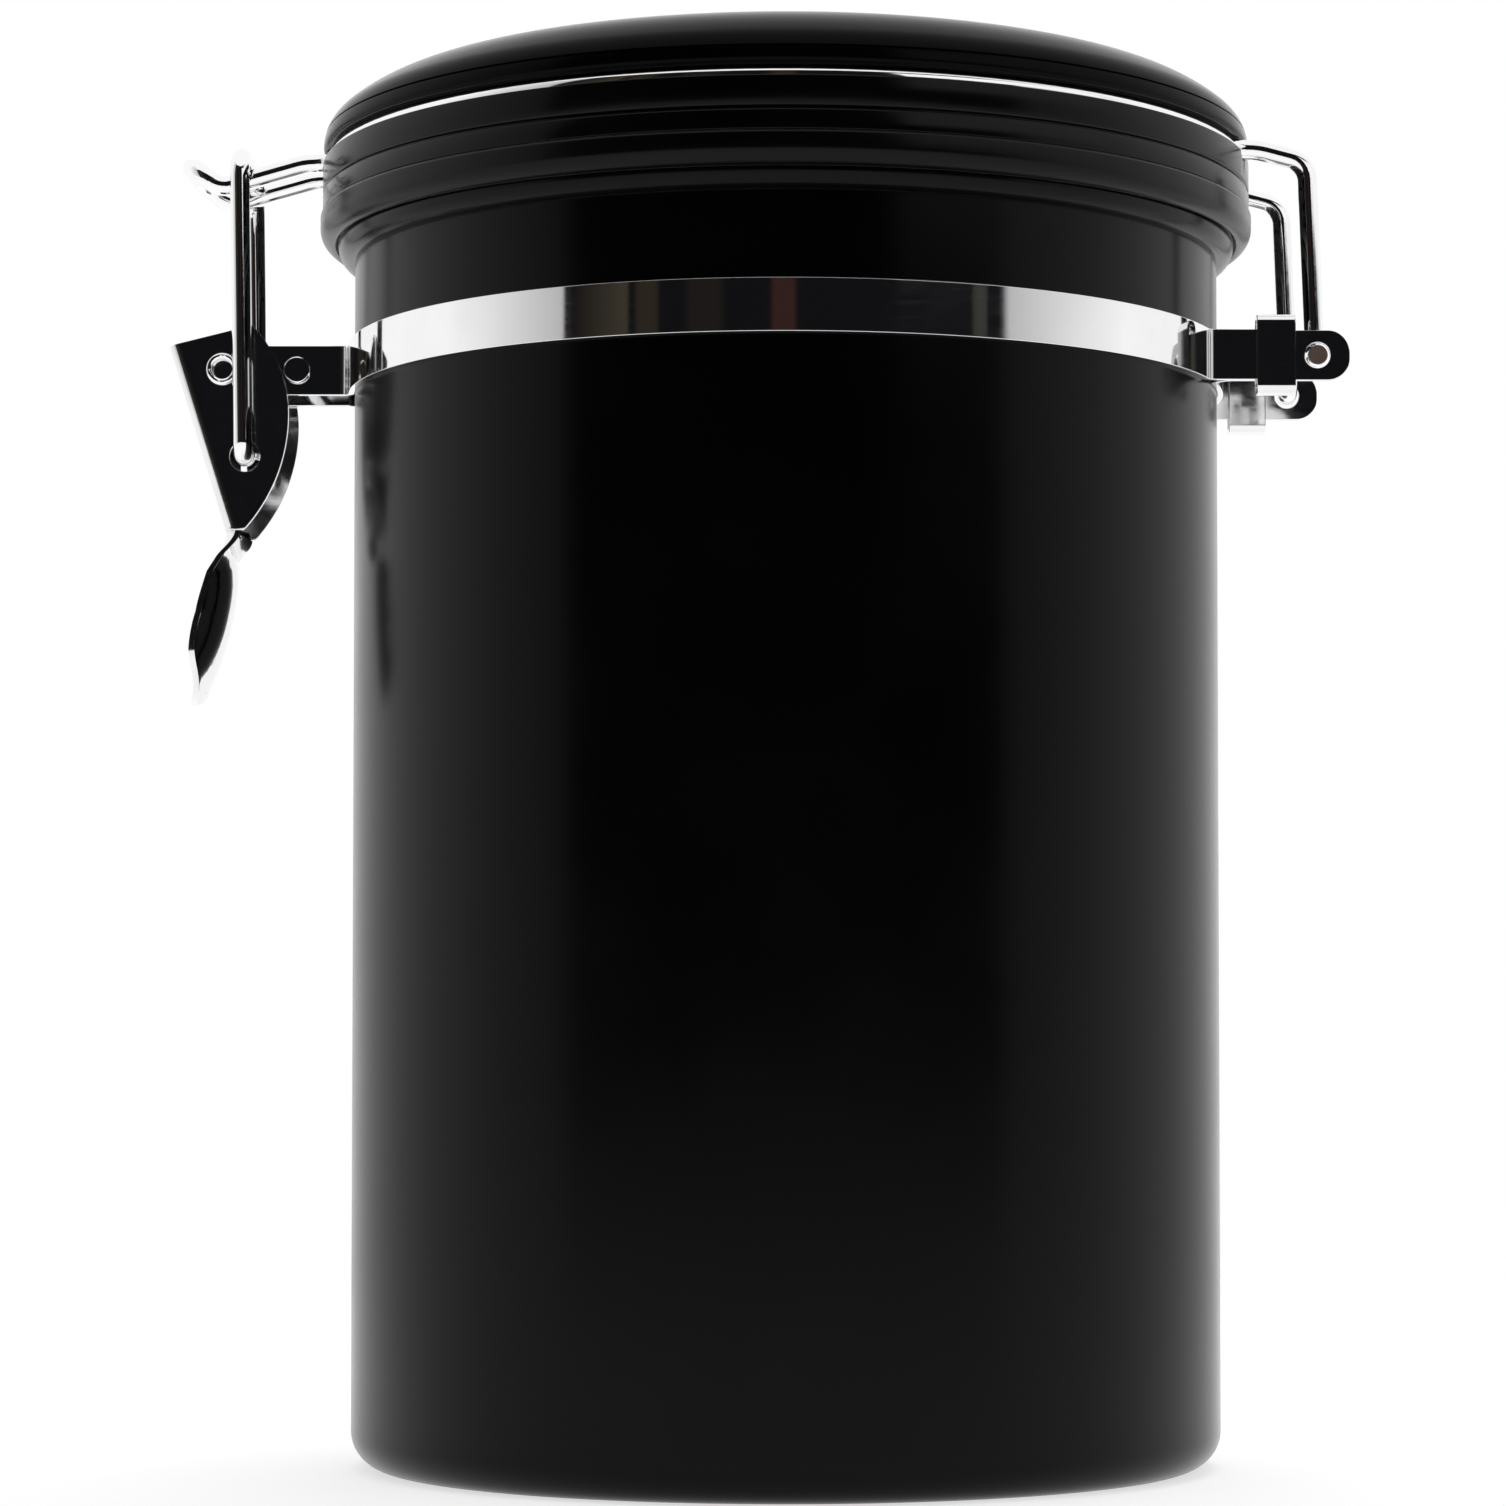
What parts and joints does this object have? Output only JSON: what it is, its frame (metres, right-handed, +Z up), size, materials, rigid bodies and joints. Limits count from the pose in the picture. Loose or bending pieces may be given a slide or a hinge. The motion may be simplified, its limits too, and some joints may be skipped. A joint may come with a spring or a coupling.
{
  "type": "clamp lid canister",
  "caption": "Tall round black storage canister with a domed lid on a wire hinge, shut by a lever and wire bail clamp carried on a bright steel strap round its neck.",
  "frame": {"origin": "middle of the can's base, on the can's axis", "axes": "+Z up along the can's axis, -X towards the latch, +X towards the hinge, -Y towards the side the picture shows"},
  "size_m": [0.1511, 0.121, 0.1838],
  "materials": {
    "can_coat": "matte black powder coat",
    "lid_coat": "matte black powder coat",
    "collar_plastic": "satin black",
    "seal_rubber": "satin black",
    "pan_steel": "satin",
    "strap_plate": "bright plate",
    "hardware_plate": "bright plate",
    "wire_plate": "bright plate"
  },
  "bodies": {
    "canister": {"can_body": "can_coat", "strap_near": "strap_plate", "strap_far": "strap_plate", "strap_rivet": "hardware_plate", "pivot_eyelet": "hardware_plate", "hinge_bracket": "hardware_plate", "hinge_sleeve_near": "hardware_plate", "hinge_sleeve_far": "hardware_plate"},
    "lid": {"seal_gasket": "seal_rubber", "lid_collar": "collar_plastic", "lid_pan": "pan_steel", "lid_dome": "lid_coat", "lid_wire": "wire_plate"},
    "lever": {"latch_lever": "hardware_plate"},
    "latch_wire": {"latch_wire": "wire_plate"}
  },
  "joints": [
    {"name": "lid_hinge", "type": "hinge", "parent": "canister", "child": "lid", "pos_m": [0.0673, 0, 0.1414], "axis": [0, 1, 0], "range_deg": [0, 200]},
    {"name": "lever_pivot", "type": "hinge", "parent": "canister", "child": "lever", "pos_m": [-0.07275, 0, 0.1414], "axis": [0, 1, 0], "range_deg": [0, 120]},
    {"name": "latch_wire_pivot", "type": "hinge", "parent": "lever", "child": "latch_wire", "pos_m": [-0.0698, 0, 0.1301], "axis": [0, 1, 0], "range_deg": [-100, 0]}
  ],
  "couplings": [
    {"joint": "latch_wire_pivot", "follows": "lever_pivot", "ratio": -0.82}
  ]
}
